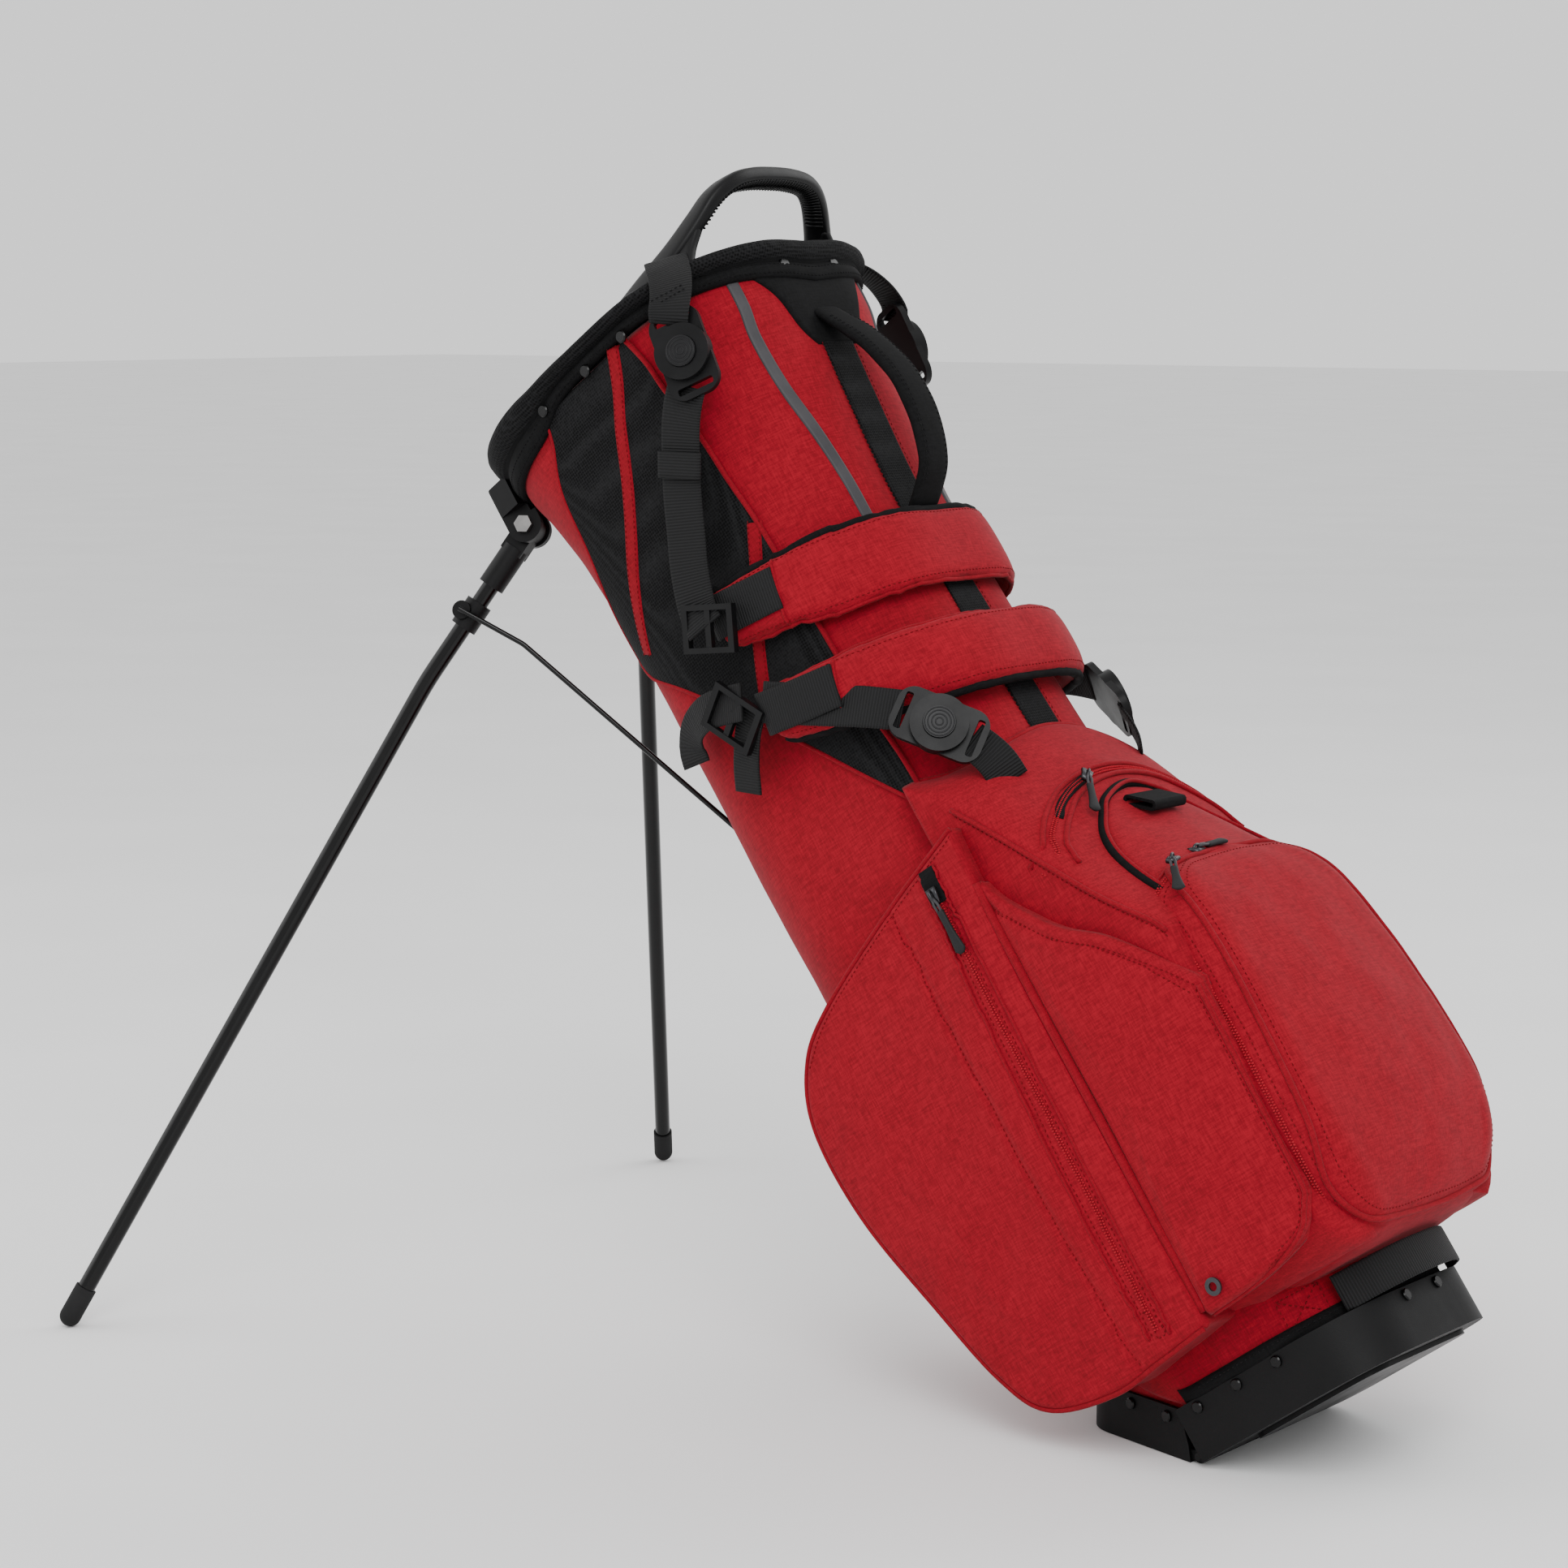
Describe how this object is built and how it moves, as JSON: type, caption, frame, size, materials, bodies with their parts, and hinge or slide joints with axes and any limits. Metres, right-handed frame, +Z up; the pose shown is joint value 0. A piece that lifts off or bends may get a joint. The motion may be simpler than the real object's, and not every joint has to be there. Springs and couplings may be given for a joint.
{
  "type": "golf stand bag",
  "caption": "Golf stand bag leaning on its two deployed legs: oval fabric body, divided mouth, side and back pockets, dual padded shoulder straps, hinged foot pedal.",
  "frame": {"origin": "centre of the foot pedal's flat sole, on the ground", "axes": "+Z up, +X from the legs to the back of the bag (the ball pocket), Y across the bag; the bag leans towards -X"},
  "size_m": [0.9708, 0.69, 0.8468],
  "materials": {
    "red_fabric": "woven polyester with a fine matt weave",
    "black_fabric": "spacer mesh and brushed lining",
    "black_webbing": "ribbed polyester webbing",
    "moulded_plastic": "satin, lightly textured",
    "button_plastic": "satin with concentric rings",
    "nylon": "natural nylon",
    "rubber_foot": "matt rubber",
    "black_aluminium": "black anodised, glossy",
    "spring_steel": "black coated",
    "bolt_steel": "zinc plated",
    "rivet_metal": "black oxide",
    "zip_metal": "gunmetal",
    "glass_fibre": "pultruded rod"
  },
  "bodies": {
    "bag": {"apparel_pocket_far": "red_fabric", "apparel_pocket_near": "red_fabric", "ball_pocket": "red_fabric", "base_grab_loop": "black_webbing", "base_rivets": "rivet_metal", "base_shell": "moulded_plastic", "base_skid_plate": "moulded_plastic", "body_shell": "red_fabric", "centre_dividers": "black_fabric", "collar_pad": "black_fabric", "connector_lower_far": "moulded_plastic", "connector_lower_near": "moulded_plastic", "connector_upper_far": "moulded_plastic", "connector_upper_near": "moulded_plastic", "cross_divider": "black_fabric", "cuff_rivets": "rivet_metal", "drain_grommets": "rivet_metal", "ladder_locks": "moulded_plastic", "leg_bracket": "moulded_plastic", "lift_handle": "moulded_plastic", "loop_tab": "black_webbing", "pedal_hinge_pin": "spring_steel", "pivot_bolts": "bolt_steel", "rod_channel": "moulded_plastic", "shoulder_pad_lower": "red_fabric", "shoulder_pad_upper": "red_fabric", "slip_pocket_far": "red_fabric", "slip_pocket_near": "red_fabric", "small_pocket": "red_fabric", "spine_grab_handle": "black_fabric", "stay_rods": "glass_fibre", "strap_webbing_far": "black_webbing", "strap_webbing_near": "black_webbing", "top_cuff": "moulded_plastic", "valuables_pocket": "red_fabric"},
    "leg_near": {"leg_tube_near": "black_aluminium", "leg_knuckle_near": "moulded_plastic", "leg_bush_near": "nylon", "leg_collar_near": "moulded_plastic", "leg_foot_near": "rubber_foot"},
    "leg_far": {"leg_tube_far": "black_aluminium", "leg_knuckle_far": "moulded_plastic", "leg_bush_far": "nylon", "leg_collar_far": "moulded_plastic", "leg_foot_far": "rubber_foot"},
    "spreader_slider": {"wire_slider": "moulded_plastic", "push_rod": "spring_steel"},
    "spreader_near": {"spreader_wire_near": "spring_steel"},
    "spreader_far": {"spreader_wire_far": "spring_steel"},
    "pedal": {"base_pedal": "moulded_plastic", "pedal_rivets": "rivet_metal"},
    "button_upper_near": {"button_upper_near": "button_plastic"},
    "button_upper_far": {"button_upper_far": "button_plastic"},
    "button_lower_near": {"button_lower_near": "button_plastic"},
    "button_lower_far": {"button_lower_far": "button_plastic"},
    "apparel_zip_near": {"apparel_zip_near": "zip_metal"},
    "apparel_zip_far": {"apparel_zip_far": "zip_metal"},
    "valuables_zip": {"valuables_zip": "zip_metal"},
    "ball_zip_near": {"ball_zip_near": "zip_metal"},
    "ball_zip_far": {"ball_zip_far": "zip_metal"}
  },
  "joints": [
    {"name": "leg_fold_near", "type": "hinge", "parent": "bag", "child": "leg_near", "pos_m": [-0.5506, -0.067, 0.58957], "axis": [0.3761, -0.887, 0.268], "range_deg": [0, 57]},
    {"name": "leg_fold_far", "type": "hinge", "parent": "bag", "child": "leg_far", "pos_m": [-0.5506, 0.067, 0.58957], "axis": [-0.3761, -0.887, -0.268], "range_deg": [0, 57.05]},
    {"name": "spreader_slide", "type": "slide", "parent": "bag", "child": "spreader_slider", "axis": [0.5803, 0, -0.8144], "range_m": [0, 0.06239]},
    {"name": "spreader_swing_near", "type": "hinge", "parent": "spreader_slider", "child": "spreader_near", "pos_m": [-0.39009, -0.0105, 0.36688], "axis": [-0.5513, 0.8285, -0.0987], "range_deg": [0, 13.03]},
    {"name": "spreader_swing_far", "type": "hinge", "parent": "spreader_slider", "child": "spreader_far", "pos_m": [-0.39009, 0.0105, 0.36688], "axis": [0.5513, 0.8285, 0.0987], "range_deg": [0, 13.03]},
    {"name": "pedal_hinge", "type": "hinge", "parent": "bag", "child": "pedal", "pos_m": [0.055, 0, 0.005], "axis": [0, -1, 0], "range_deg": [0, 35.5]},
    {"name": "button_upper_near_press", "type": "slide", "parent": "bag", "child": "button_upper_near", "axis": [-0.3051, 0.9272, -0.2174], "range_m": [0, 0.0025], "stiffness_N_per_m": 400},
    {"name": "button_upper_far_press", "type": "slide", "parent": "bag", "child": "button_upper_far", "axis": [-0.3051, -0.9272, -0.2174], "range_m": [0, 0.0025], "stiffness_N_per_m": 400},
    {"name": "button_lower_near_press", "type": "slide", "parent": "bag", "child": "button_lower_near", "axis": [-0.5554, 0.7314, -0.3957], "range_m": [0, 0.0025], "stiffness_N_per_m": 400},
    {"name": "button_lower_far_press", "type": "slide", "parent": "bag", "child": "button_lower_far", "axis": [-0.5554, -0.7314, -0.3957], "range_m": [0, 0.0025], "stiffness_N_per_m": 400},
    {"name": "apparel_zip_near_run", "type": "slide", "parent": "bag", "child": "apparel_zip_near", "axis": [0.5599, 0, -0.8285], "range_m": [0, 0.3]},
    {"name": "apparel_zip_far_run", "type": "slide", "parent": "bag", "child": "apparel_zip_far", "axis": [0.5599, 0, -0.8285], "range_m": [0, 0.3]},
    {"name": "valuables_zip_run", "type": "slide", "parent": "bag", "child": "valuables_zip", "axis": [0.4544, -0.8083, -0.3744], "range_m": [-0.035, 0.012]},
    {"name": "ball_zip_near_run", "type": "slide", "parent": "bag", "child": "ball_zip_near", "axis": [0.6201, -0.3719, -0.6908], "range_m": [0, 0.055]},
    {"name": "ball_zip_far_run", "type": "slide", "parent": "bag", "child": "ball_zip_far", "axis": [0, 1, 0], "range_m": [0, 0.05]}
  ],
  "couplings": [
    {"joint": "leg_fold_far", "follows": "leg_fold_near", "ratio": 1},
    {"joint": "spreader_slide", "follows": "leg_fold_near", "m_per_rad": 0.062663},
    {"joint": "spreader_swing_near", "follows": "leg_fold_near", "ratio": 0.22765},
    {"joint": "spreader_swing_far", "follows": "leg_fold_near", "ratio": 0.22765},
    {"joint": "pedal_hinge", "follows": "leg_fold_near", "ratio": 0.62228}
  ]
}
